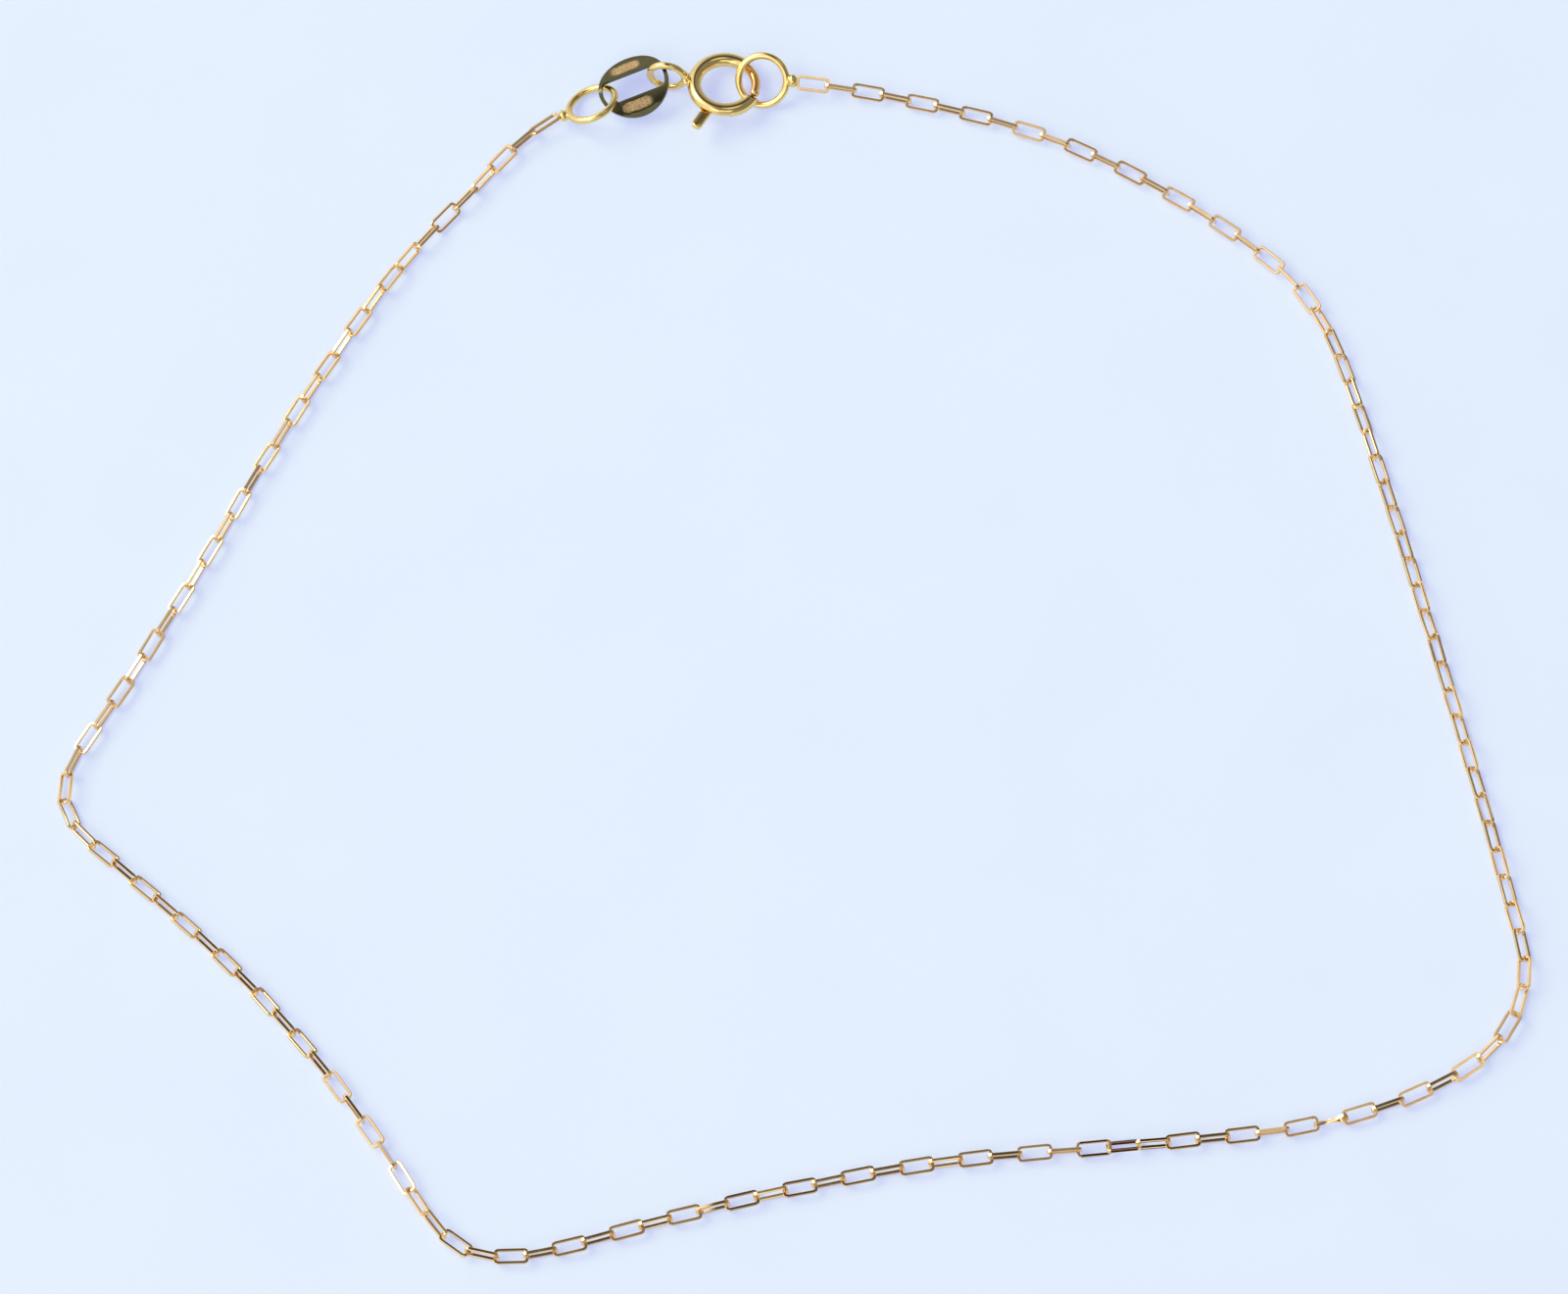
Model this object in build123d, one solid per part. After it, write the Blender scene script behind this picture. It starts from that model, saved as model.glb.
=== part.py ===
from build123d import *
import math
import os

# A fine gold chain anklet, fastened by a spring ring and laid out flat on a surface. Sizes are in millimetres.
# The origin is the middle of the anklet's box, on that surface. +X runs along the longest extent of the loop,
# +Y points to the clasp and +Z points up.
# Going round from the right of the clasp: right end ring, 138 fine links (one tube along their route),
# left end ring, oval tag, and the spring ring whose bolt closes on the right end ring.

# Chain: the links are 1 mm wide, so the tube that stands for them is as thick.
CHAIN_DIAMETER = 1.0
CHAIN_REST = CHAIN_DIAMETER / 2
ARC_SHARE = 0.45

# End rings: round wire, closed by a bead of solder that also holds the last link.
END_RING_RADIUS = 1.62
END_WIRE_RADIUS = 0.24
BEAD_RADIUS = 0.36
BEAD_OFFSET = 0.42

# Spring ring: a tube bent to a circle, open over a gap that the bolt bridges.
SPRING_RADIUS = 2.02
TUBE_RADIUS = 0.46
BORE_RADIUS = 0.36
GAP_FROM = -27.0
GAP_TO = 55.0
SPRING_SEAT = 295.0
CATCH_DEPTH = 16.0
MOUTH_SLANT = 35.0

# Bolt: a bent rod that runs in the tube, with its lever through a slot in the tube's outer side.
BOLT_RADIUS = 0.31
BOLT_TIP = -15.0
BOLT_TAIL = 250.0
BOLT_TRAVEL = 28.0
LEVER_ANGLE = 241.0
LEVER_REACH = 3.90
LEVER_WIDTH = 0.72
LEVER_HEIGHT = 0.40
LEVER_DROP = 0.12
LEVER_GROOVE = 0.09
SLOT_HEIGHT = 0.50
SLOT_CLEARANCE = 1.5

# Eyelet: a wire ring soldered on edge to the spring ring, square to its plane.
EYELET_RADIUS = 1.16
EYELET_WIRE_RADIUS = 0.24
EYELET_DISTANCE = 3.84
EYELET_ANGLE = 171.9
EYELET_SOLDER_RADIUS = 0.37

# Oval tag: a thin plate curved about its long axis, with a long window that leaves narrow ends.
TAG_HALF_LENGTH = 2.38
TAG_HALF_WIDTH = 2.08
TAG_END_RIM = 0.25
TAG_WINDOW_WIDTH = 1.60
TAG_WINDOW_CORNER = 0.30
TAG_THICKNESS = 0.28
TAG_CURVE_RADIUS = 4.20

# How each piece of the clasp lies: its centre, how far its near side is raised, how far its left side is
# raised, both in degrees, and its turn in its own plane.
SPRING_RING_LIES = ((-5.29, 38.62, 1.11), 9.7, 5.7, 0.0)
RIGHT_RING_LIES = ((-2.83, 38.93, 1.12), -30.3, -10.9, 0.0)
LEFT_RING_LIES = ((-14.02, 37.31, 1.10), 26.1, -18.9, 0.0)
TAG_LIES = ((-11.30, 38.48, 1.66), -5.9, -7.4, 18.5)
RIGHT_BEAD_ANGLE = -6.0
LEFT_BEAD_ANGLE = 202.0

# The chain's route, clockwise from the right end ring's bead to the left one's.
ROUTE = [
    (-0.40, 38.72, 1.19),
    (2.7, 38.55, 0.60),
    (7.2, 37.45, CHAIN_REST),
    (12.6, 36.2, CHAIN_REST),
    (18.7, 33.9, CHAIN_REST),
    (25.3, 30.1, CHAIN_REST),
    (31.5, 25.4, CHAIN_REST),
    (34.3, 21.2, CHAIN_REST),
    (36.3, 15.1, CHAIN_REST),
    (39.8, 3.3, CHAIN_REST),
    (43.3, -9.5, CHAIN_REST),
    (45.4, -17.6, CHAIN_REST),
    (46.55, -22.4, CHAIN_REST),
    (44.4, -26.9, CHAIN_REST),
    (39.6, -29.9, CHAIN_REST),
    (32.9, -32.1, CHAIN_REST),
    (22.8, -33.2, CHAIN_REST),
    (10.2, -34.25, CHAIN_REST),
    (-0.6, -36.5, CHAIN_REST),
    (-8.9, -38.8, CHAIN_REST),
    (-15.4, -40.8, CHAIN_REST),
    (-19.3, -40.4, CHAIN_REST),
    (-21.6, -37.8, CHAIN_REST),
    (-24.2, -34.0, CHAIN_REST),
    (-28.6, -28.2, CHAIN_REST),
    (-34.0, -22.4, CHAIN_REST),
    (-39.0, -18.0, CHAIN_REST),
    (-42.9, -14.7, CHAIN_REST),
    (-45.2, -12.85, CHAIN_REST),
    (-46.25, -10.7, CHAIN_REST),
    (-45.85, -8.35, CHAIN_REST),
    (-44.6, -6.4, CHAIN_REST),
    (-42.45, -2.9, CHAIN_REST),
    (-38.7, 3.8, CHAIN_REST),
    (-33.95, 13.3, CHAIN_REST),
    (-29.3, 21.4, CHAIN_REST),
    (-25.6, 27.1, CHAIN_REST),
    (-21.8, 31.2, CHAIN_REST),
    (-18.6, 35.3, 0.55),
    (-16.37, 36.53, 0.85),
]


def lying(lies):
    """The place of a clasp piece, from its centre, its two tilts and its turn."""
    centre, near_up, left_up, turn = lies
    normal = Vector(math.tan(math.radians(left_up)), math.tan(math.radians(near_up)), 1)
    across = Vector(normal.Z, 0, -normal.X)
    return Location(Plane(origin=centre, x_dir=across, z_dir=normal)) * Rot(0, 0, turn)


def bent_rod(bend_radius, rod_radius, start, end):
    """A round rod bent about Z, from one angle to another."""
    section = Plane.XZ * Pos(bend_radius, 0) * Circle(rod_radius)
    return Rot(0, 0, start) * revolve(section, Axis.Z, end - start)


def wire_ring(bend_radius, wire_radius):
    """A closed ring of round wire about Z."""
    return Torus(bend_radius, wire_radius)


def corner_radii(route):
    """The radius of the arc at each inner point of the route."""
    points = [Vector(*point) for point in route]
    radii = []
    for before, corner, after in zip(points, points[1:], points[2:]):
        arriving = corner - before
        leaving = after - corner
        half_turn = math.radians(arriving.get_angle(leaving)) / 2
        shorter = min(arriving.length, leaving.length)
        radii.append(ARC_SHARE * shorter / math.tan(half_turn))
    return radii


def make_chain():
    radii = corner_radii(ROUTE)
    print("route radii", [round(radius, 1) for radius in radii])
    path = FilletPolyline(*ROUTE, radius=radii)
    section = Plane(origin=path @ 0, z_dir=path % 0) * Circle(CHAIN_DIAMETER / 2)
    tube = sweep(section, path=path)
    expected = math.pi * CHAIN_DIAMETER**2 / 4 * path.length
    print("chain length", round(path.length, 2), "volume", round(tube.volume, 2), "expected", round(expected, 2))
    return tube


def make_end_ring(bead_angle):
    ring = wire_ring(END_RING_RADIUS, END_WIRE_RADIUS)
    bead = Rot(0, 0, bead_angle) * Pos(END_RING_RADIUS + BEAD_OFFSET, 0, 0) * Sphere(BEAD_RADIUS)
    return ring + bead


def make_spring_ring():
    tube_end = 360 + GAP_FROM
    slant_reach = math.degrees(TUBE_RADIUS * math.tan(math.radians(MOUTH_SLANT)) / SPRING_RADIUS)
    tube = bent_rod(SPRING_RADIUS, TUBE_RADIUS, GAP_TO, tube_end + slant_reach)
    tube -= bent_rod(SPRING_RADIUS, BORE_RADIUS, GAP_TO, SPRING_SEAT)
    tube -= bent_rod(SPRING_RADIUS, BORE_RADIUS, tube_end - CATCH_DEPTH, tube_end + slant_reach)

    # The catch's mouth is cut at a slant, so that its upper lip stands further back than its lower one.
    cutter_size = 4 * TUBE_RADIUS
    cutter = Rot(MOUTH_SLANT, 0, 0) * Pos(0, cutter_size / 2, 0) * Box(cutter_size, cutter_size, 2 * cutter_size)
    tube -= Rot(0, 0, tube_end) * Pos(SPRING_RADIUS, 0, 0) * cutter

    # The lever's slot, as long as the lever is wide and as the bolt travels.
    lever_half = math.degrees(LEVER_WIDTH / 2 / (SPRING_RADIUS + BORE_RADIUS))
    slot_from = LEVER_ANGLE - lever_half - SLOT_CLEARANCE
    slot_to = LEVER_ANGLE + BOLT_TRAVEL + lever_half + SLOT_CLEARANCE
    slot_section = Plane.XZ * Pos(SPRING_RADIUS + TUBE_RADIUS, -LEVER_DROP) * Rectangle(2 * TUBE_RADIUS, SLOT_HEIGHT)
    tube -= Rot(0, 0, slot_from) * revolve(slot_section, Axis.Z, slot_to - slot_from)

    at_eyelet = Rot(0, 0, EYELET_ANGLE)
    eyelet = at_eyelet * Pos(EYELET_DISTANCE, 0, 0) * Rot(90, 0, 0) * wire_ring(EYELET_RADIUS, EYELET_WIRE_RADIUS)
    solder_at = (SPRING_RADIUS + TUBE_RADIUS + EYELET_DISTANCE - EYELET_RADIUS) / 2
    solder = at_eyelet * Pos(solder_at, 0, 0) * Sphere(EYELET_SOLDER_RADIUS)
    solder -= bent_rod(SPRING_RADIUS, (TUBE_RADIUS + BORE_RADIUS) / 2, 90, 270)
    return tube + solder + eyelet


def make_bolt():
    rod = bent_rod(SPRING_RADIUS, BOLT_RADIUS, BOLT_TIP, BOLT_TAIL)
    half_ball = Rot(0, 0, 180) * Sphere(BOLT_RADIUS, arc_size3=180, align=Align.NONE)
    tip = Rot(0, 0, BOLT_TIP) * Pos(SPRING_RADIUS, 0, 0) * half_ball
    straight = LEVER_REACH - LEVER_WIDTH / 2 - SPRING_RADIUS
    outline = Pos(SPRING_RADIUS + straight / 2, 0) * Rectangle(straight, LEVER_WIDTH)
    outline += Pos(LEVER_REACH - LEVER_WIDTH / 2, 0) * Circle(LEVER_WIDTH / 2)
    lever = extrude(outline, LEVER_HEIGHT / 2, both=True)
    groove_size = LEVER_GROOVE * math.sqrt(2)
    for side in (-1, 1):
        groove = Rot(45, 0, 0) * Box(LEVER_REACH, groove_size, groove_size)
        groove_from = SPRING_RADIUS + TUBE_RADIUS + LEVER_REACH / 2
        lever -= Pos(groove_from, 0, side * LEVER_HEIGHT / 2) * groove
    return rod + tip + Rot(0, 0, LEVER_ANGLE) * Pos(0, 0, -LEVER_DROP) * lever


def make_tag():
    outline = Ellipse(TAG_HALF_LENGTH, TAG_HALF_WIDTH)
    window = Ellipse(TAG_HALF_LENGTH - TAG_END_RIM, TAG_HALF_WIDTH - TAG_END_RIM)
    window &= Rectangle(2 * TAG_HALF_LENGTH, TAG_WINDOW_WIDTH)
    window = fillet(window.vertices(), TAG_WINDOW_CORNER)
    block = extrude(outline - window, TAG_CURVE_RADIUS / 2, both=True)
    shell = Cylinder(TAG_CURVE_RADIUS, 4 * TAG_HALF_LENGTH)
    shell -= Cylinder(TAG_CURVE_RADIUS - TAG_THICKNESS, 4 * TAG_HALF_LENGTH)
    return block & (Pos(0, 0, -TAG_CURVE_RADIUS) * Rot(0, 90, 0) * shell)


pieces = {
    "chain": make_chain(),
    "right_end_ring": lying(RIGHT_RING_LIES) * make_end_ring(RIGHT_BEAD_ANGLE),
    "left_end_ring": lying(LEFT_RING_LIES) * make_end_ring(LEFT_BEAD_ANGLE),
    "oval_tag": lying(TAG_LIES) * make_tag(),
    "spring_ring": lying(SPRING_RING_LIES) * make_spring_ring(),
    "bolt": lying(SPRING_RING_LIES) * make_bolt(),
}

hinge = Plane(lying(SPRING_RING_LIES))
print("bolt hinge at", hinge.origin, "axis", hinge.z_dir)

os.makedirs("parts", exist_ok=True)
for name, piece in pieces.items():
    piece.label = name
    export_step(piece, f"parts/{name}.step")
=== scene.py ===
import math
import random

import bmesh
import bpy
from mathutils import Matrix, Vector


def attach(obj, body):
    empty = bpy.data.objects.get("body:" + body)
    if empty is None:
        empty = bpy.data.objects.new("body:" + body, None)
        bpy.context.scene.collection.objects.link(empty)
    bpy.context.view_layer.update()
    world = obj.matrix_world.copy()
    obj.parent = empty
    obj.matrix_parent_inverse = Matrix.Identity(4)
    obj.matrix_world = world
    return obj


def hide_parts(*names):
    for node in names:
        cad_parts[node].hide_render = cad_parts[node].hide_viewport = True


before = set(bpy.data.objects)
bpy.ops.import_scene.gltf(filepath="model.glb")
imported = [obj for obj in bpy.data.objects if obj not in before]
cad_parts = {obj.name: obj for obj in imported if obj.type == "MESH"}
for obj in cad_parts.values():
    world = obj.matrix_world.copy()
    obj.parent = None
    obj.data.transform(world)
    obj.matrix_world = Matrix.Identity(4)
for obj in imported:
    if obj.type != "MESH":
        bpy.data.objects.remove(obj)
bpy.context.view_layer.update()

# ---- The camera ----
# It looks down on the anklet from its near side, a little from the right, and leans a little to the left.
# Its lens is a long one, because it stands some way off.
CAMERA_AIM = Vector((-0.0004, -0.00035, 0.0))
CAMERA_DISTANCE = 0.4073
CAMERA_AZIMUTH = 12.826
CAMERA_ELEVATION = 69
CAMERA_LEAN = -12
camera_data = bpy.data.cameras.new("camera")
camera_data.lens = 147
camera_data.clip_start = 0.01
camera = bpy.data.objects.new("camera", camera_data)
bpy.context.collection.objects.link(camera)
facing = Matrix.Rotation(math.radians(CAMERA_AZIMUTH), 4, "Z")
facing = facing @ Matrix.Rotation(math.radians(90 - CAMERA_ELEVATION), 4, "X")
leaning = Matrix.Rotation(math.radians(CAMERA_LEAN), 4, "Z")
away = Matrix.Translation((0, 0, CAMERA_DISTANCE))
camera.matrix_world = Matrix.Translation(CAMERA_AIM) @ facing @ away @ leaning
scene = bpy.context.scene
scene.camera = camera
scene.view_settings.view_transform = "Standard"


# ---- The table ----
# A sheet of smooth bluish white paper, wide enough to be the whole floor. Its fibre just shows, as a faint
# mottle and a very low relief, and the shadows on it are soft and pale.
PAPER_HALF_SIDE = 2.0
PAPER_COLOUR = (0.51, 0.57, 0.27)
PAPER_SHADE = (0.49, 0.55, 0.26)
PAPER_GLOW = (0.31, 0.35, 0.745)
MOTTLE_SIZE = 0.012
FIBRE_SIZE = 0.0006
FIBRE_HEIGHT = 0.00001


def tree_of(material):
    """The nodes and links of a material, its main shader and the object's own coordinates."""
    material.use_nodes = True
    nodes, links = material.node_tree.nodes, material.node_tree.links
    return nodes, links, nodes["Principled BSDF"], nodes.new("ShaderNodeTexCoord").outputs["Object"]


def noise_at(nodes, links, where, size, detail=2.0):
    """A noise whose features measure about size, in metres. Returns its factor."""
    texture = nodes.new("ShaderNodeTexNoise")
    texture.inputs["Scale"].default_value = 1 / size
    texture.inputs["Detail"].default_value = detail
    links.new(where, texture.inputs["Vector"])
    return texture.outputs["Fac"]


def ramp_of(nodes, links, factor, low, high, colours):
    """Turns a factor between low and high into a colour between the two given."""
    ramp = nodes.new("ShaderNodeValToRGB")
    for stop, place, colour in zip(ramp.color_ramp.elements, (low, high), colours):
        stop.position = place
        stop.color = (*colour, 1)
    links.new(factor, ramp.inputs["Fac"])
    return ramp.outputs["Color"]


def relief_of(nodes, links, factor, height, shader):
    """Raises the surface by up to height, in metres, where the factor is high."""
    bump = nodes.new("ShaderNodeBump")
    bump.inputs["Distance"].default_value = height
    links.new(factor, bump.inputs["Height"])
    links.new(bump.outputs["Normal"], shader.inputs["Normal"])


paper = bpy.data.materials.new("paper")
nodes, links, shader, here = tree_of(paper)
shader.inputs["Roughness"].default_value = 0.9
shader.inputs["Specular IOR Level"].default_value = 0.15
mottle = noise_at(nodes, links, here, MOTTLE_SIZE)
mottled = ramp_of(nodes, links, mottle, low=0.3, high=0.8, colours=(PAPER_COLOUR, PAPER_SHADE))
links.new(mottled, shader.inputs["Base Color"])
relief_of(nodes, links, noise_at(nodes, links, here, FIBRE_SIZE, detail=4.0), FIBRE_HEIGHT, shader)

# The glow shows where the sheet is looked at or mirrored, and lights nothing itself.
ray = nodes.new("ShaderNodeLightPath")
seen = nodes.new("ShaderNodeMath")
seen.operation = "MAXIMUM"
links.new(ray.outputs["Is Camera Ray"], seen.inputs[0])
links.new(ray.outputs["Is Glossy Ray"], seen.inputs[1])
glow = nodes.new("ShaderNodeEmission")
glow.inputs["Color"].default_value = (*PAPER_GLOW, 1)
links.new(seen.outputs["Value"], glow.inputs["Strength"])
lit = nodes.new("ShaderNodeAddShader")
links.new(shader.outputs["BSDF"], lit.inputs[0])
links.new(glow.outputs["Emission"], lit.inputs[1])
links.new(lit.outputs["Shader"], nodes["Material Output"].inputs["Surface"])

bm = bmesh.new()
bmesh.ops.create_grid(bm, x_segments=1, y_segments=1, size=PAPER_HALF_SIDE)
paper_mesh = bpy.data.meshes.new("paper_sheet")
bm.to_mesh(paper_mesh)
bm.free()
paper_mesh.materials.append(paper)
paper_sheet = bpy.data.objects.new("paper_sheet", paper_mesh)
bpy.context.collection.objects.link(paper_sheet)


# ---- The light ----
# A room that is bright on the left and dim on the right. Flat metal mirrors two patches of its ceiling, a
# dark one and a bright one. One soft lamp stands to the left and another hangs over the near side.
LEFT_SKY = (1.10, 1.07, 1.15)
RIGHT_SKY = (0.26, 0.26, 0.29)
SKY_SEAM = (-0.27, -0.12)
BRIGHT_WALL = (1.15, 1.08, 1.25)
SHADY_WALL = (0.17, 0.17, 0.19)
BRIGHT_SIDE = (-1.0, -0.1, 0)
WALL_TOP = (0.1, 0.6)
CEILING_PATCHES = [
    # direction, cosines at which it begins and is full, colour
    ((0.08, 0.50, 0.862), (0.94, 0.965), (0.075, 0.077, 0.08)),
    ((0.27, 0.09, 0.959), (0.97, 0.988), (0.95, 0.91, 0.86)),
]
LAMPLIGHT = (0.97, 1.0, 0.91)
LAMPS = [
    # name, place, width and height, strength
    ("window", (-0.60, 0.22, 0.62), (0.6, 0.5), 3.4),
    ("overhead", (-0.05, -0.62, 0.68), (0.85, 0.42), 0.93),
]

world = bpy.data.worlds.new("room")
world.use_nodes = True
scene.world = world
room_nodes, room_links = world.node_tree.nodes, world.node_tree.links
toward = room_nodes.new("ShaderNodeTexCoord").outputs["Generated"]


def shared(factor, span, first, second):
    """Passes from the first colour to the second as the factor crosses the span. Returns the colour."""
    share = room_nodes.new("ShaderNodeMapRange")
    share.inputs["From Min"].default_value, share.inputs["From Max"].default_value = span
    room_links.new(factor, share.inputs["Value"])
    mix = room_nodes.new("ShaderNodeMixRGB")
    room_links.new(share.outputs["Result"], mix.inputs["Fac"])
    for socket, colour in (("Color1", first), ("Color2", second)):
        if isinstance(colour, tuple):
            mix.inputs[socket].default_value = (*colour, 1)
        else:
            room_links.new(colour, mix.inputs[socket])
    return mix.outputs["Color"]


def nearness(direction):
    """The cosine of the angle between where a ray goes and the direction."""
    product = room_nodes.new("ShaderNodeVectorMath")
    product.operation = "DOT_PRODUCT"
    product.inputs[1].default_value = direction
    room_links.new(toward, product.inputs[0])
    return product.outputs["Value"]


aim = room_nodes.new("ShaderNodeSeparateXYZ")
room_links.new(toward, aim.inputs["Vector"])
walls = shared(nearness(BRIGHT_SIDE), (-1, 1), SHADY_WALL, BRIGHT_WALL)
ceiling = shared(aim.outputs["X"], SKY_SEAM, LEFT_SKY, RIGHT_SKY)
for direction, span, colour in CEILING_PATCHES:
    ceiling = shared(nearness(direction), span, ceiling, colour)
room = shared(aim.outputs["Z"], WALL_TOP, walls, ceiling)
room_links.new(room, room_nodes["Background"].inputs["Color"])

for name, place, size, strength in LAMPS:
    lamp_data = bpy.data.lights.new(name, "AREA")
    lamp_data.shape = "RECTANGLE"
    lamp_data.size, lamp_data.size_y = size
    lamp_data.color = LAMPLIGHT
    lamp_data.energy = strength * math.pi * size[0] * size[1]
    lamp = bpy.data.objects.new(name, lamp_data)
    lamp.location = place
    lamp.rotation_euler = (-Vector(place)).to_track_quat("-Z", "Y").to_euler()
    bpy.context.collection.objects.link(lamp)


# ---- The end rings ----
# Each end of the chain is closed by a ring of round gold wire. A bead of gold solder joins the ring's ends
# and holds the last link, so ring and bead are one skin. They lie tilted on the pieces they pass through.
END_RING_RADIUS = 1.62
END_WIRE_RADIUS = 0.24
BEAD_SIZE = (0.34, 0.44, 0.36)
BEAD_OFFSET = 0.42
CLASP_GOLD = (0.93, 0.72, 0.30)
CLASP_GOLD_DEEP = (0.85, 0.62, 0.20)
TINT_SIZE = 0.0009
WEAR_SIZE = 0.0002
SCRATCH_SIZE = 0.00025
LEAST_WORN = 0.6
MOST_WORN = 1.6

# Pieces are shaped in millimetres, and finished() brings them to metres. Finishes are in metres.
MM = 0.001


def lying(centre, near_up, left_up, turn=0.0):
    """The place of a clasp piece, from its centre in millimetres and its tilts and turn in degrees."""
    normal = Vector((math.tan(math.radians(left_up)), math.tan(math.radians(near_up)), 1)).normalized()
    across = Vector((normal.z, 0, -normal.x)).normalized()
    axes = Matrix((across, normal.cross(across), normal)).transposed().to_4x4()
    return Matrix.Translation(centre) @ axes @ Matrix.Rotation(math.radians(turn), 4, "Z")


def torus(bm, bend_radius, wire_radius, sides, steps, place=Matrix()):
    """Adds a closed ring of round wire to bm, about the Z axis of the given place."""
    section = Matrix.Translation((bend_radius, 0, 0)) @ Matrix.Rotation(math.pi / 2, 4, "X")
    circle = bmesh.ops.create_circle(bm, radius=wire_radius, segments=sides, matrix=section)["verts"]
    edges = [edge for edge in bm.edges if edge.verts[0] in circle]
    before = set(bm.verts) - set(circle)
    bmesh.ops.spin(bm, geom=circle + edges, cent=(0, 0, 0), axis=(0, 0, 1), angle=2 * math.pi,
                   steps=steps, use_merge=True)
    bmesh.ops.transform(bm, matrix=place, verts=[vert for vert in bm.verts if vert not in before])


def skinned(bm, name, voxel, smoothing):
    """Makes one soft skin of the overlapping shells in bm, as solder does, and returns it as a new mesh."""
    mesh = bpy.data.meshes.new(name)
    bmesh.ops.recalc_face_normals(bm, faces=bm.faces)
    bm.to_mesh(mesh)
    bm.free()
    blank = bpy.data.objects.new(name, mesh)
    bpy.context.collection.objects.link(blank)
    solder = blank.modifiers.new("solder", "REMESH")
    solder.mode = "VOXEL"
    solder.voxel_size = voxel
    polish = blank.modifiers.new("polish", "SMOOTH")
    polish.iterations = smoothing
    skin = bpy.data.meshes.new_from_object(blank.evaluated_get(bpy.context.evaluated_depsgraph_get()))
    bpy.data.objects.remove(blank)
    return skin


def finished(mesh, name, place, material, sharp_over):
    """Places a mesh made in millimetres where it lies, in metres, and gives it its finish and edges."""
    mesh.transform(Matrix.Scale(MM, 4) @ place)
    mesh.shade_smooth()
    mesh.set_sharp_from_angle(angle=math.radians(sharp_over))
    mesh.materials.clear()
    mesh.materials.append(material)
    piece = bpy.data.objects.new(name, mesh)
    bpy.context.collection.objects.link(piece)
    return piece


def gold_finish(name, colour, deep_colour, roughness, scratch):
    """Polished gold: its colour and gloss vary a little, and its fine scratches are scratch deep."""
    material = bpy.data.materials.new(name)
    nodes, links, shader, here = tree_of(material)
    shader.inputs["Metallic"].default_value = 1.0
    tint = noise_at(nodes, links, here, TINT_SIZE)
    tinted = ramp_of(nodes, links, tint, low=0.35, high=0.7, colours=(colour, deep_colour))
    links.new(tinted, shader.inputs["Base Color"])
    worn = nodes.new("ShaderNodeMapRange")
    worn.inputs["To Min"].default_value = roughness * LEAST_WORN
    worn.inputs["To Max"].default_value = roughness * MOST_WORN
    links.new(noise_at(nodes, links, here, WEAR_SIZE, detail=5.0), worn.inputs["Value"])
    links.new(worn.outputs["Result"], shader.inputs["Roughness"])
    relief_of(nodes, links, noise_at(nodes, links, here, SCRATCH_SIZE, detail=3.0), scratch, shader)
    return material


clasp_gold = gold_finish("clasp_gold", CLASP_GOLD, CLASP_GOLD_DEEP, roughness=0.13, scratch=0.0000012)


def make_end_ring(name, node, place, bead_angle):
    """Builds one end ring with its bead at an angle on it, in degrees."""
    bm = bmesh.new()
    torus(bm, END_RING_RADIUS, END_WIRE_RADIUS, sides=32, steps=128)
    bead = Matrix.Rotation(math.radians(bead_angle), 4, "Z")
    bead = bead @ Matrix.Translation((END_RING_RADIUS + BEAD_OFFSET, 0, 0))
    bmesh.ops.create_icosphere(bm, subdivisions=4, radius=1, matrix=bead @ Matrix.Diagonal((*BEAD_SIZE, 1)))
    skin = skinned(bm, name, voxel=0.035, smoothing=8)
    ring = finished(skin, name, place, clasp_gold, sharp_over=180)
    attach(ring, "root")
    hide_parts(node)


right_lies = lying((-2.83, 38.93, 1.12), near_up=-30.3, left_up=-10.9)
left_lies = lying((-14.02, 37.31, 1.10), near_up=26.1, left_up=-18.9)
make_end_ring("end_ring_right", "right_end_ring", right_lies, bead_angle=-6)
make_end_ring("end_ring_left", "left_end_ring", left_lies, bead_angle=202)


# ---- The oval tag ----
# A thin oval plate, arched across its width, with a long window for the left end ring and the clasp's
# eyelet. It is mirror polished and dark, and each long side has a matt field struck into its top.
TAG_LIES = lying((-11.30, 38.48, 1.66), near_up=-5.9, left_up=-7.4, turn=18.5)
TAG_HALF_LENGTH = 2.38
TAG_HALF_WIDTH = 2.08
TAG_END_RIM = 0.25
TAG_WINDOW_HALF = 0.80
TAG_THICKNESS = 0.28
TAG_CURVE_RADIUS = 4.20
TAG_OUTLINE_POINTS = 96
TAG_BAND_CUTS = 11
TAG_RIM_ROUND = 0.04
FIELD_REACH = 1.05
FIELD_MIDDLE = 1.36
FIELD_HALF = 0.33
FIELD_SHIFT = 0.22
FIELD_DEPTH = 0.03
FIELD_SQUARENESS = 4
FIELD_EDGE = 6
TAG_GOLD = (0.115, 0.108, 0.048)
TAG_GOLD_DEEP = (0.10, 0.09, 0.045)
FIELD_GOLD = (0.60, 0.43, 0.21)
FIELD_GOLD_DEEP = (0.34, 0.22, 0.10)
SPECKLE_SIZE = 0.00011
SPECKLE_HEIGHT = 0.00003


def oval(bm, half_length, half_width, half_window=None):
    """Adds a closed oval line to bm, cut off straight where a window's half width is given."""
    loop = bmesh.ops.create_circle(bm, radius=1, segments=TAG_OUTLINE_POINTS)["verts"]
    bmesh.ops.scale(bm, vec=(half_length, half_width, 1), verts=loop)
    if half_window:
        for vert in loop:
            vert.co.y = max(-half_window, min(half_window, vert.co.y))
        bmesh.ops.smooth_vert(bm, verts=loop, factor=0.5, use_axis_x=True, use_axis_y=True)


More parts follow.
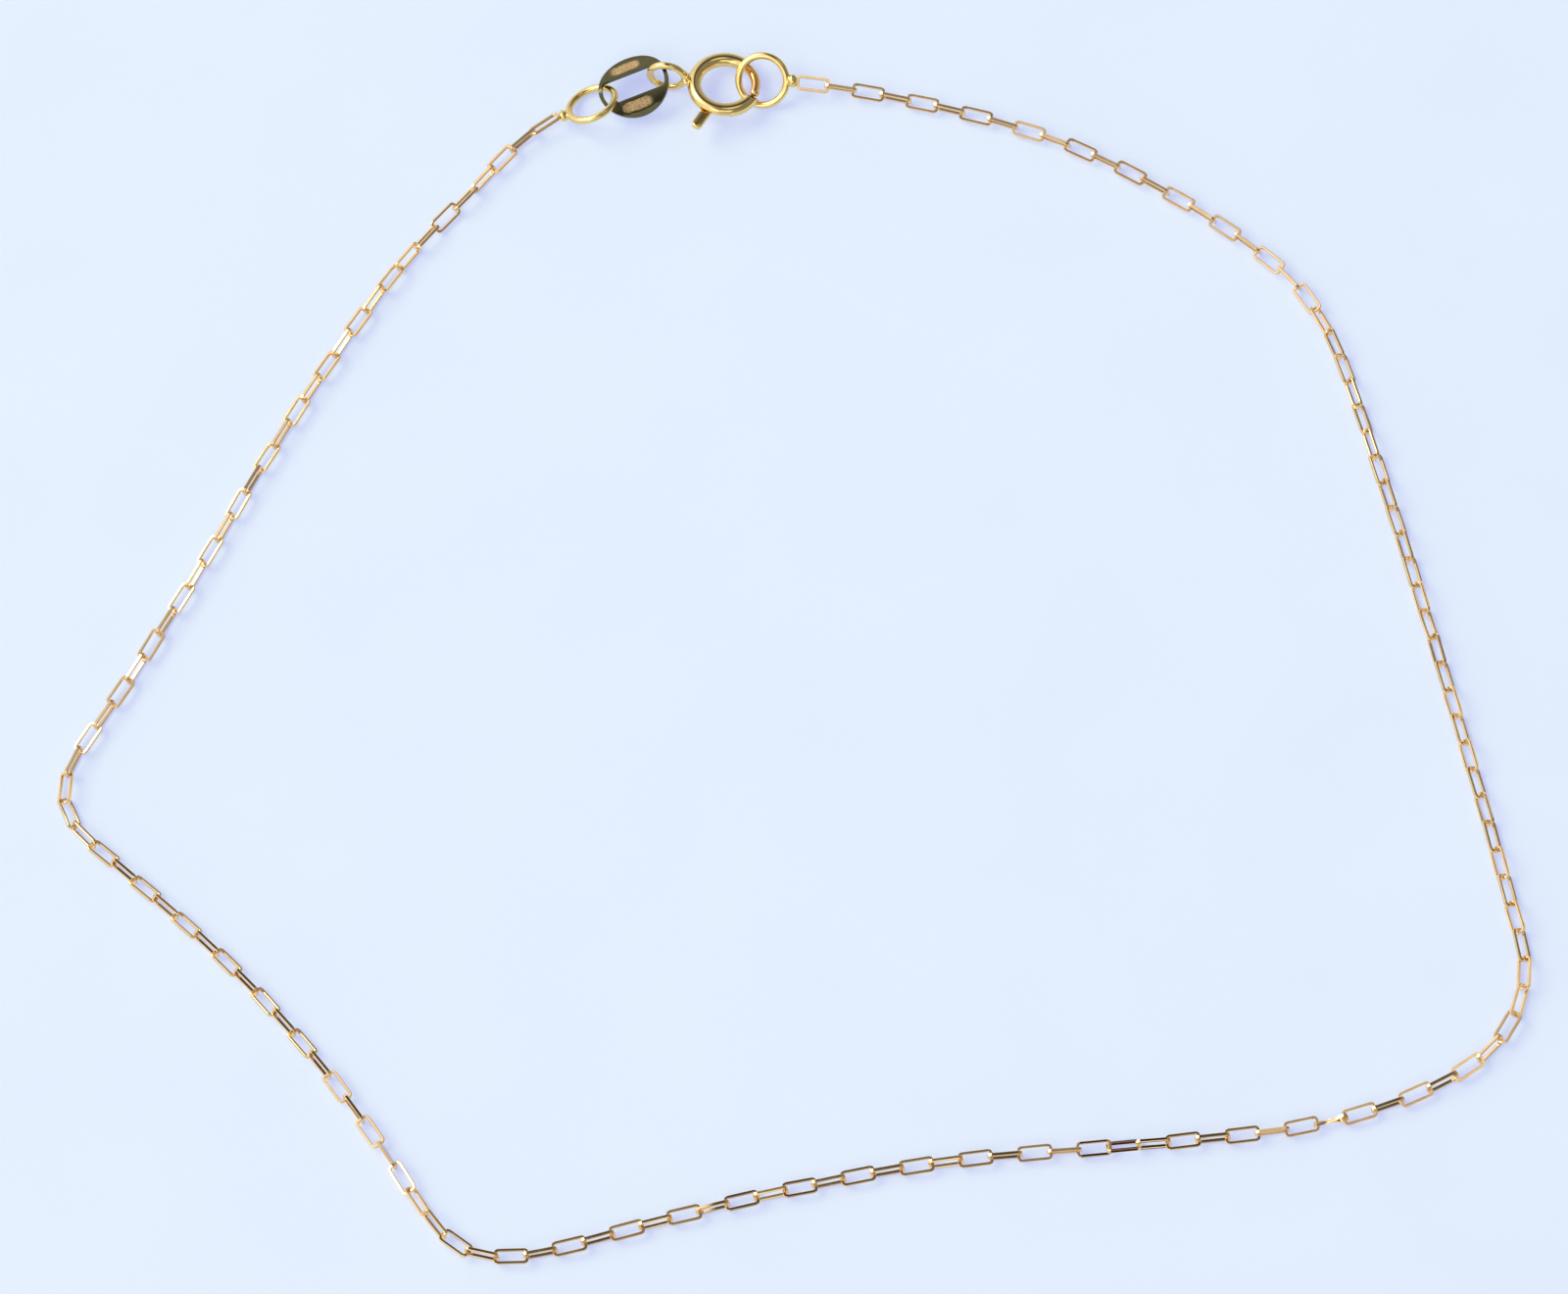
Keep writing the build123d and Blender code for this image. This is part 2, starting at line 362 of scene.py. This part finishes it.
bm = bmesh.new()
oval(bm, TAG_HALF_LENGTH, TAG_HALF_WIDTH)
oval(bm, TAG_HALF_LENGTH - TAG_END_RIM, TAG_HALF_WIDTH - TAG_END_RIM, TAG_WINDOW_HALF)
bridged = bmesh.ops.bridge_loops(bm, edges=bm.edges[:])
bmesh.ops.subdivide_edges(bm, edges=bridged["edges"], cuts=TAG_BAND_CUTS, use_grid_fill=True)
struck = bm.verts.layers.float.new("struck")
for vert in bm.verts:
    along = abs(vert.co.x + FIELD_SHIFT) / FIELD_REACH
    beside = abs(abs(vert.co.y) - FIELD_MIDDLE) / FIELD_HALF
    from_middle = (along**FIELD_SQUARENESS + beside**FIELD_SQUARENESS) ** (1 / FIELD_SQUARENESS)
    vert[struck] = max(0.0, min(1.0, (1 - from_middle) * FIELD_EDGE))
bmesh.ops.recalc_face_normals(bm, faces=bm.faces)
if bm.faces[:][0].normal.z < 0:
    bmesh.ops.reverse_faces(bm, faces=bm.faces)
for vert in bm.verts:
    vert.co.z = math.sqrt(TAG_CURVE_RADIUS**2 - vert.co.y**2) - TAG_CURVE_RADIUS
bmesh.ops.solidify(bm, geom=bm.faces[:], thickness=TAG_THICKNESS)
for vert in bm.verts:
    vert.co.z -= FIELD_DEPTH * vert[struck] * (1 if vert.normal.z > 0 else 0)
bmesh.ops.recalc_face_normals(bm, faces=bm.faces)
tag_mesh = bpy.data.meshes.new("tag_plate")
bm.to_mesh(tag_mesh)
bm.free()

tag_gold = gold_finish("tag_gold", TAG_GOLD, TAG_GOLD_DEEP, roughness=0.07, scratch=0.0000008)
nodes, links = tag_gold.node_tree.nodes, tag_gold.node_tree.links
mirror = nodes["Principled BSDF"]
field_mask = nodes.new("ShaderNodeAttribute")
field_mask.attribute_name = "struck"
matt = nodes.new("ShaderNodeBsdfPrincipled")
matt.inputs["Metallic"].default_value = 1.0
matt.inputs["Roughness"].default_value = 0.5
here = next(node for node in nodes if node.type == "TEX_COORD").outputs["Object"]
speckle = noise_at(nodes, links, here, SPECKLE_SIZE, detail=3.0)
speckled = ramp_of(nodes, links, speckle, low=0.4, high=0.62, colours=(FIELD_GOLD, FIELD_GOLD_DEEP))
links.new(speckled, matt.inputs["Base Color"])
relief_of(nodes, links, speckle, SPECKLE_HEIGHT, matt)
blend = nodes.new("ShaderNodeMixShader")
links.new(field_mask.outputs["Fac"], blend.inputs["Fac"])
links.new(mirror.outputs["BSDF"], blend.inputs[1])
links.new(matt.outputs["BSDF"], blend.inputs[2])
links.new(blend.outputs["Shader"], nodes["Material Output"].inputs["Surface"])

tag = finished(tag_mesh, "tag_plate", TAG_LIES, tag_gold, sharp_over=40)
rim = tag.modifiers.new("rim", "BEVEL")
rim.width = TAG_RIM_ROUND * MM
rim.segments = 2
rim.limit_method = "ANGLE"
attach(tag, "root")
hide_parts("oval_tag")


# ---- The spring ring ----
# A hollow ring of gold tube, open over the gap that the bolt bridges, with a slot in its outer wall for the
# bolt's lever. An eyelet of round wire stands on edge on its far side, held by a wedge of solder.
SPRING_RING_LIES = lying((-5.29, 38.62, 1.11), near_up=9.7, left_up=5.7)
SPRING_RADIUS = 2.02
TUBE_RADIUS = 0.46
BORE_RADIUS = 0.36
GAP_FROM = -27.0
GAP_TO = 55.0
MOUTH_SLANT = 35.0
MOUTH_SPARE = 12.0
MOUTH_PART = 300.0
BOLT_TRAVEL = 28.0
LEVER_ANGLE = 241.0
LEVER_WIDTH = 0.72
LEVER_DROP = 0.12
SLOT_HEIGHT = 0.50
SLOT_CLEARANCE = 1.5
SLOT_DEEPER = 0.06
SLOT_PART = 5.0
LIP_WIDTH = 0.025
EYELET_RADIUS = 1.16
EYELET_WIRE_RADIUS = 0.24
EYELET_DISTANCE = 3.84
EYELET_ANGLE = 171.9
SOLDER_SIZE = (0.40, 0.48, 0.30)
SOLDER_OFFSET = 0.06


def turned(degrees):
    """A turn about the ring's own axis."""
    return Matrix.Rotation(math.radians(degrees), 4, "Z")


def bent_tube(bm, radius, start, end, sides, steps):
    """Adds an open tube bent about the ring's axis, from one angle to another."""
    section = turned(start) @ Matrix.Translation((SPRING_RADIUS, 0, 0))
    section = section @ Matrix.Rotation(math.pi / 2, 4, "X")
    circle = bmesh.ops.create_circle(bm, radius=radius, segments=sides, matrix=section)["verts"]
    edges = [edge for edge in bm.edges if edge.verts[0] in circle]
    bmesh.ops.spin(bm, geom=circle + edges, cent=(0, 0, 0), axis=(0, 0, 1),
                   angle=math.radians(end - start), steps=steps)


def angle_of(place):
    """The angle of a place about the ring's axis, from 0 to 360 degrees."""
    return math.degrees(math.atan2(place.y, place.x)) % 360


def cut(bm, faces, place, normal, clear_outer=False):
    """Cuts these faces along a plane, and takes away what stands beyond it if asked to."""
    parts = {part for face in faces for part in (face, *face.verts, *face.edges)}
    bmesh.ops.bisect_plane(bm, geom=list(parts), plane_co=place, plane_no=normal, clear_outer=clear_outer)


# The mouth's cut is kept to the faces past MOUTH_PART, and the slot's to those within SLOT_PART of it.
bm = bmesh.new()
tube_end = 360 + GAP_FROM
bent_tube(bm, TUBE_RADIUS, GAP_TO, tube_end + MOUTH_SPARE, sides=48, steps=96)
near_mouth = [face for face in bm.faces if angle_of(face.calc_center_median()) > MOUTH_PART]
slant = turned(tube_end) @ Matrix.Rotation(math.radians(MOUTH_SLANT), 4, "X")
mouth_at = turned(tube_end) @ Vector((SPRING_RADIUS, 0, 0))
cut(bm, near_mouth, mouth_at, slant.to_3x3() @ Vector((0, 1, 0)), clear_outer=True)

lever_half = math.degrees(LEVER_WIDTH / 2 / (SPRING_RADIUS + BORE_RADIUS))
slot_from = LEVER_ANGLE - lever_half - SLOT_CLEARANCE
slot_to = LEVER_ANGLE + BOLT_TRAVEL + lever_half + SLOT_CLEARANCE
# The slot is a little deeper below, where the wall curves in towards the lever.
slot_low = -LEVER_DROP - SLOT_HEIGHT / 2 - SLOT_DEEPER
slot_high = -LEVER_DROP + SLOT_HEIGHT / 2
part_from, part_to = slot_from - SLOT_PART, slot_to + SLOT_PART
for slot_end in (slot_from, slot_to):
    near_slot = [face for face in bm.faces if part_from < angle_of(face.calc_center_median()) < part_to]
    cut(bm, near_slot, (0, 0, 0), turned(slot_end) @ Vector((0, 1, 0)))
for slot_side in (slot_low, slot_high):
    near_slot = [face for face in bm.faces if slot_from < angle_of(face.calc_center_median()) < slot_to]
    cut(bm, near_slot, (0, 0, slot_side), (0, 0, 1))
window = []
for face in bm.faces:
    middle = face.calc_center_median()
    outside = middle.xy.length > SPRING_RADIUS
    if outside and slot_from < angle_of(middle) < slot_to and slot_low < middle.z < slot_high:
        window.append(face)
bmesh.ops.delete(bm, geom=window, context="FACES")
bmesh.ops.recalc_face_normals(bm, faces=bm.faces)
ring_mesh = bpy.data.meshes.new("clasp_ring")
bm.to_mesh(ring_mesh)
bm.free()

blank = bpy.data.objects.new("blank", ring_mesh)
bpy.context.collection.objects.link(blank)
wall = blank.modifiers.new("wall", "SOLIDIFY")
wall.thickness = TUBE_RADIUS - BORE_RADIUS
wall.offset = -1
lip = blank.modifiers.new("lip", "BEVEL")
lip.width = LIP_WIDTH
lip.segments = 2
lip.limit_method = "ANGLE"
lip.angle_limit = math.radians(50)
tube_mesh = bpy.data.meshes.new_from_object(blank.evaluated_get(bpy.context.evaluated_depsgraph_get()))
bpy.data.objects.remove(blank)

bm = bmesh.new()
at_eyelet = turned(EYELET_ANGLE)
on_edge = at_eyelet @ Matrix.Translation((EYELET_DISTANCE, 0, 0)) @ Matrix.Rotation(math.pi / 2, 4, "X")
torus(bm, EYELET_RADIUS, EYELET_WIRE_RADIUS, sides=24, steps=96, place=on_edge)
solder_at = at_eyelet @ Matrix.Translation((SPRING_RADIUS + TUBE_RADIUS + SOLDER_OFFSET, 0, 0))
solder_at = solder_at @ Matrix.Diagonal((*SOLDER_SIZE, 1))
bmesh.ops.create_icosphere(bm, subdivisions=4, radius=1, matrix=solder_at)
eyelet_mesh = skinned(bm, "eyelet", voxel=0.03, smoothing=10)

# The solder ends in the middle of the tube's wall, so that the bore stays clear for the bolt.
in_wall = (TUBE_RADIUS + BORE_RADIUS) / 2
for vert in eyelet_mesh.vertices:
    tube_middle = vert.co.xy.normalized().to_3d() * SPRING_RADIUS
    outward = vert.co - tube_middle
    if outward.length < in_wall:
        vert.co = tube_middle + outward.normalized() * in_wall

bm = bmesh.new()
bm.from_mesh(tube_mesh)
bm.from_mesh(eyelet_mesh)
bm.to_mesh(ring_mesh)
bm.free()
clasp_ring = finished(ring_mesh, "clasp_ring", SPRING_RING_LIES, clasp_gold, sharp_over=40)
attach(clasp_ring, "root")
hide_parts("spring_ring")


# ---- The bolt ----
# A bent gold rod that slides round inside the tube and closes the gap. Its lever is a folded tab that comes
# out through the slot, with a groove between its two ridges, for a thumbnail to push back.
BOLT_RADIUS = 0.31
BOLT_TIP = -15.0
BOLT_TAIL = 250.0
LEVER_REACH = 3.90
LEVER_HEIGHT = 0.40
LEVER_ROUND = 0.34
LEVER_EDGE = 0.11
GROOVE_IN = 0.12
GROOVE_DEPTH = 0.10
BOLT_GOLD = (0.93, 0.62, 0.26)
BOLT_GOLD_DEEP = (0.86, 0.46, 0.14)

bm = bmesh.new()
bent_tube(bm, BOLT_RADIUS, BOLT_TIP, BOLT_TAIL, sides=32, steps=72)
bmesh.ops.holes_fill(bm, edges=[edge for edge in bm.edges if edge.is_boundary])
for end in (BOLT_TIP, BOLT_TAIL):
    ball_at = turned(end) @ Matrix.Translation((SPRING_RADIUS, 0, 0)) @ Matrix.Rotation(math.pi / 2, 4, "X")
    bmesh.ops.create_uvsphere(bm, u_segments=32, v_segments=16, radius=BOLT_RADIUS, matrix=ball_at)
bmesh.ops.recalc_face_normals(bm, faces=bm.faces)
bolt_mesh = bpy.data.meshes.new("clasp_bolt")
bm.to_mesh(bolt_mesh)
bm.free()
bolt_gold = gold_finish("bolt_gold", BOLT_GOLD, BOLT_GOLD_DEEP, roughness=0.12, scratch=0.0000012)
bolt = finished(bolt_mesh, "clasp_bolt", SPRING_RING_LIES, bolt_gold, sharp_over=35)
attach(bolt, "bolt")
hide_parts("bolt")

tab = bmesh.new()
tab_length = LEVER_REACH - SPRING_RADIUS
middle = Matrix.Translation((SPRING_RADIUS + tab_length / 2, 0, -LEVER_HEIGHT / 2))
bmesh.ops.create_grid(tab, x_segments=1, y_segments=1, size=0.5,
                      matrix=middle @ Matrix.Diagonal((tab_length, LEVER_WIDTH, 1, 1)))
tip_corners = [vert for vert in tab.verts if vert.co.x > LEVER_REACH - LEVER_ROUND]
bmesh.ops.bevel(tab, geom=tip_corners, offset=LEVER_ROUND, affect="VERTICES", segments=8, profile=0.5,
                material=-1)
raised = bmesh.ops.extrude_face_region(tab, geom=tab.faces[:])["geom"]
raised = [part for part in raised if isinstance(part, bmesh.types.BMVert)]
bmesh.ops.translate(tab, vec=(0, 0, LEVER_HEIGHT), verts=raised)
bmesh.ops.recalc_face_normals(tab, faces=tab.faces)
rims = [edge for edge in tab.edges if abs(edge.verts[0].co.z - edge.verts[1].co.z) < 0.01]
bmesh.ops.bevel(tab, geom=rims, offset=LEVER_EDGE, affect="EDGES", segments=3, profile=0.5, material=-1)
top = max(tab.faces, key=lambda face: face.calc_center_median().z)
bmesh.ops.inset_region(tab, faces=[top], thickness=GROOVE_IN, use_even_offset=True)
bmesh.ops.translate(tab, vec=(0, 0, -GROOVE_DEPTH), verts=top.verts)
lever_at = turned(LEVER_ANGLE) @ Matrix.Translation((0, 0, -LEVER_DROP))
bmesh.ops.transform(tab, matrix=lever_at, verts=tab.verts)
tab_mesh = bpy.data.meshes.new("clasp_lever")
tab.to_mesh(tab_mesh)
tab.free()
lever = finished(tab_mesh, "clasp_lever", SPRING_RING_LIES, clasp_gold, sharp_over=35)
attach(lever, "bolt")
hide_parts("bolt")


# ---- The chain ----
# Long links of square gold wire with cut-off corners, all of one size, each rolled against its neighbours.
# They lie in one limp loop from bead to bead. One is twisted shut, a few are bent, and the rails of a few
# are coloured a darker brown.
LINK_COUNT = 138
PITCH_BOUNDS = (1.7, 2.0)
PITCH_HALVINGS = 40
JOINT_HALVINGS = 20
LINK_WIRE = 0.175
LINK_WIDTH = 1.0
LINK_HEIGHT = 0.215
LINK_CORNER = 0.25
LINK_EDGE = 0.03
ROUTE = [
    # across, away and up, in metres, from the right bead round to the left one
    (-0.00040, 0.03872, 0.00119),
    (0.0027, 0.03855, 0.00060),
    (0.0072, 0.0376, 0.0005),
    (0.0126, 0.0362, 0.0005),
    (0.0187, 0.0339, 0.0005),
    (0.0253, 0.0301, 0.0005),
    (0.0315, 0.0254, 0.0005),
    (0.0343, 0.0212, 0.0005),
    (0.0363, 0.0151, 0.0005),
    (0.0398, 0.0033, 0.0005),
    (0.0433, -0.0095, 0.0005),
    (0.0454, -0.0176, 0.0005),
    (0.04655, -0.0224, 0.0005),
    (0.04452, -0.0270, 0.0005),
    (0.03965, -0.0300, 0.0005),
    (0.0329, -0.0321, 0.0005),
    (0.0228, -0.0332, 0.0005),
    (0.0102, -0.03425, 0.0005),
    (-0.0006, -0.0365, 0.0005),
    (-0.0089, -0.0388, 0.0005),
    (-0.0154, -0.0408, 0.0005),
    (-0.0193, -0.0404, 0.0005),
    (-0.0216, -0.0378, 0.0005),
    (-0.0242, -0.0340, 0.0005),
    (-0.0286, -0.0282, 0.0005),
    (-0.0340, -0.0224, 0.0005),
    (-0.0390, -0.0180, 0.0005),
    (-0.0429, -0.0147, 0.0005),
    (-0.0452, -0.01285, 0.0005),
    (-0.04625, -0.0107, 0.0005),
    (-0.0457, -0.00835, 0.0005),
    (-0.0444, -0.0063, 0.0005),
    (-0.0423, -0.0028, 0.0005),
    (-0.0387, 0.0038, 0.0005),
    (-0.03395, 0.0133, 0.0005),
    (-0.0293, 0.0214, 0.0005),
    (-0.0256, 0.0271, 0.0005),
    (-0.0218, 0.0312, 0.0005),
    (-0.0186, 0.0353, 0.00055),
    (-0.01637, 0.03653, 0.00085),
]
ROLLS = [
    # link, roll of the odd links there, roll of the even ones, in degrees
    (1, 10, 100),
    (20, 10, 102),
    (21, 14, 114),
    (22, 30, 136),
    (23, 56, 142),
    (27, 60, 146),
    (31, 57, 144),
    (35, 46, 142),
    (46, 42, 142),
    (48, 28, 134),
    (50, 0, 111),
    (52, -12, 97),
    (55, -14, 92),
    (58, -10, 88),
    (60, 0, 97),
    (62, 18, 106),
    (63, 43, 140),
    (64, 60, 172),
    (65, 86, 172),
    (67, 90, 172),
    (69, 98, 184),
    (85, 98, 184),
    (87, 116, 205),
    (88, 140, 228),
    (89, 165, 252),
    (91, 168, 276),
    (93, 180, 276),
    (95, 205, 284),
    (99, 211, 288),
    (105, 208, 287),
    (107, 220, 300),
    (108, 240, 332),
    (109, 273, 344),
    (111, 265, 355),
    (113, 266, 360),
    (115, 265, 350),
    (129, 264, 350),
    (130, 258, 338),
    (131, 250, 330),
    (132, 238, 302),
    (133, 214, 303),
    (134, 232, 305),
    (135, 268, 330),
    (136, 258, 352),
    (137, 280, 338),
    (138, 270, 320),
]
ROLL_PLAY = 5
LEAN_PLAY = 2
CHANCE_SEED = 11
BEND_CUTS = 14
# The twisted link's rails draw together at CROSSING, a share of the way from its middle to its end.
TWISTED_LINK = 56
TWIST_START = math.radians(-15)
TWIST_RATE = math.radians(-30)
CROSSING = 0.3
PINCH = 0.2
PINCH_REACH = 1.5
# How far the rails of a few links bow, and how brown the rails of a few are.
BOWS = {34: 0.04, 77: 0.07, 107: 0.06, 108: -0.05}
RAIL_BROWNING = {62: 0.7, 63: 1.0, 64: 0.95, 74: 0.3, 76: 0.4}
RAIL_SHARE = 0.6
RAIL_FACING = 0.9
LINK_GOLD = (0.94, 0.70, 0.37)
LINK_GOLD_DEEP = (0.88, 0.59, 0.27)
RAIL_BROWN = (0.10, 0.03, 0.008)

route_data = bpy.data.curves.new("route", "CURVE")
route_data.dimensions = "3D"
route_data.resolution_u = 48
spline = route_data.splines.new("NURBS")
spline.points.add(len(ROUTE) - 1)
for point, place in zip(spline.points, ROUTE):
    point.co = (*place, 1)
spline.order_u = 3
spline.use_endpoint_u = True
route_object = bpy.data.objects.new("route", route_data)
route_line = bpy.data.meshes.new_from_object(route_object)
line = [vert.co.copy() for vert in route_line.vertices]
bpy.data.objects.remove(route_object)


def joints_at(pitch):
    """The places along the line where links meet, a pitch apart, and whether the line is long enough."""
    joints = [line[0]]
    for start, end in zip(line, line[1:]):
        while (end - joints[-1]).length >= pitch and len(joints) <= LINK_COUNT:
            low, high = 0.0, 1.0
            for _ in range(JOINT_HALVINGS):
                half = (low + high) / 2
                if (start.lerp(end, half) - joints[-1]).length < pitch:
                    low = half
                else:
                    high = half
            joints.append(start.lerp(end, high))
    return joints, len(joints) > LINK_COUNT


short, long = (bound * MM for bound in PITCH_BOUNDS)
for _ in range(PITCH_HALVINGS):
    pitch = (short + long) / 2
    if joints_at(pitch)[1]:
        short = pitch
    else:
        long = pitch
joints = joints_at(short)[0]
link_length = short / MM + 2 * LINK_WIRE


def link_shape(name, cuts):
    """One link lying flat, its rails cut across so many times that they can be bent."""
    bm = bmesh.new()
    bmesh.ops.create_grid(bm, x_segments=1, y_segments=1, size=0.5,
                          matrix=Matrix.Diagonal((link_length, LINK_WIDTH, 1, 1)))
    bmesh.ops.bevel(bm, geom=bm.verts[:], offset=LINK_CORNER, affect="VERTICES", segments=2, profile=0.5,
                    material=-1)
    plate = bm.faces[:]
    bmesh.ops.inset_region(bm, faces=plate, thickness=LINK_WIRE, use_boundary=True, use_even_offset=True)
    bmesh.ops.delete(bm, geom=plate, context="FACES")
    raised = bmesh.ops.extrude_face_region(bm, geom=bm.faces[:])["geom"]
    raised = [part for part in raised if isinstance(part, bmesh.types.BMVert)]
    bmesh.ops.translate(bm, vec=(0, 0, LINK_HEIGHT), verts=raised)
    bmesh.ops.translate(bm, vec=(0, 0, -LINK_HEIGHT / 2), verts=bm.verts)
    bmesh.ops.recalc_face_normals(bm, faces=bm.faces)
    long_edges = [edge for edge in bm.edges if edge.calc_face_angle() > math.radians(60)]
    bmesh.ops.bevel(bm, geom=long_edges, offset=LINK_EDGE, affect="EDGES", segments=1, profile=0.5,
                    material=-1)
    if cuts:
        rails = [edge for edge in bm.edges if edge.calc_length() > link_length / 2]
        bmesh.ops.subdivide_edges(bm, edges=rails, cuts=cuts, use_grid_fill=True)
    mesh = bpy.data.meshes.new(name)
    bm.to_mesh(mesh)
    bm.free()
    return mesh


plain_link = link_shape("plain_link", cuts=0)
bent_link = link_shape("bent_link", cuts=BEND_CUTS)


def roll_of(number):
    """How far a link is rolled about the chain's line, from flat, in degrees."""
    before, after = next(pair for pair in zip(ROLLS, ROLLS[1:]) if number <= pair[1][0])
    share = (number - before[0]) / (after[0] - before[0])
    column = 1 if number % 2 else 2
    return before[column] + (after[column] - before[column]) * share


dice = random.Random(CHANCE_SEED)
bm = bmesh.new()
browning = bm.faces.layers.float.new("browning")
for number in range(1, LINK_COUNT + 1):
    start, end = joints[number - 1], joints[number]
    along = (end - start).normalized()
    flat = (Vector((0, 0, 1)) - along * along.z).normalized()
    axes = Matrix((along, flat.cross(along), flat)).transposed().to_4x4()
    roll = math.radians(roll_of(number) + dice.uniform(-ROLL_PLAY, ROLL_PLAY))
    lean = math.radians(dice.uniform(-LEAN_PLAY, LEAN_PLAY))
    place = Matrix.Translation((start + end) / 2) @ axes @ Matrix.Rotation(roll, 4, "X")
    place = place @ Matrix.Rotation(lean, 4, "Z") @ Matrix.Scale(MM, 4)
    known = set(bm.verts)
    twisted = number == TWISTED_LINK
    bow = BOWS.get(number, 0.0)
    bm.from_mesh(bent_link if bow or twisted else plain_link)
    new = [vert for vert in bm.verts if vert not in known]
    for vert in new:
        share = 2 * vert.co.x / link_length
        vert.co.y += bow * (1 - share**2)
        if twisted:
            vert.co.y *= PINCH + (1 - PINCH) * min(1, abs(share - CROSSING) / PINCH_REACH)
            vert.co.yz = Matrix.Rotation(TWIST_START + TWIST_RATE * (share - CROSSING), 2) @ vert.co.yz
    for face in {face for vert in new for face in vert.link_faces}:
        on_rail = abs(face.calc_center_median().x) < RAIL_SHARE * link_length / 2
        if on_rail and max(abs(face.normal.y), abs(face.normal.z)) > RAIL_FACING:
            face[browning] = RAIL_BROWNING.get(number, 0.0)
    bmesh.ops.transform(bm, matrix=place, verts=new)
    lowest = min(vert.co.z for vert in new)
    bmesh.ops.translate(bm, vec=(0, 0, max(0, -lowest)), verts=new)
chain_mesh = bpy.data.meshes.new("chain_links")
bm.to_mesh(chain_mesh)
bm.free()

link_gold = gold_finish("link_gold", LINK_GOLD, LINK_GOLD_DEEP, roughness=0.10, scratch=0.0000006)
nodes, links = link_gold.node_tree.nodes, link_gold.node_tree.links
shader = nodes["Principled BSDF"]
# The rails of a few links are mixed towards a darker brown, by the share each face holds.
browning_share = nodes.new("ShaderNodeAttribute")
browning_share.attribute_name = "browning"
browned_colour = nodes.new("ShaderNodeMixRGB")
browned_colour.inputs["Color2"].default_value = (*RAIL_BROWN, 1)
links.new(browning_share.outputs["Fac"], browned_colour.inputs["Fac"])
links.new(shader.inputs["Base Color"].links[0].from_socket, browned_colour.inputs["Color1"])
links.new(browned_colour.outputs["Color"], shader.inputs["Base Color"])

# The links are in metres already, so their place undoes the change of unit.
chain = finished(chain_mesh, "chain_links", Matrix.Scale(1 / MM, 4), link_gold, sharp_over=15)
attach(chain, "root")
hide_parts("chain")
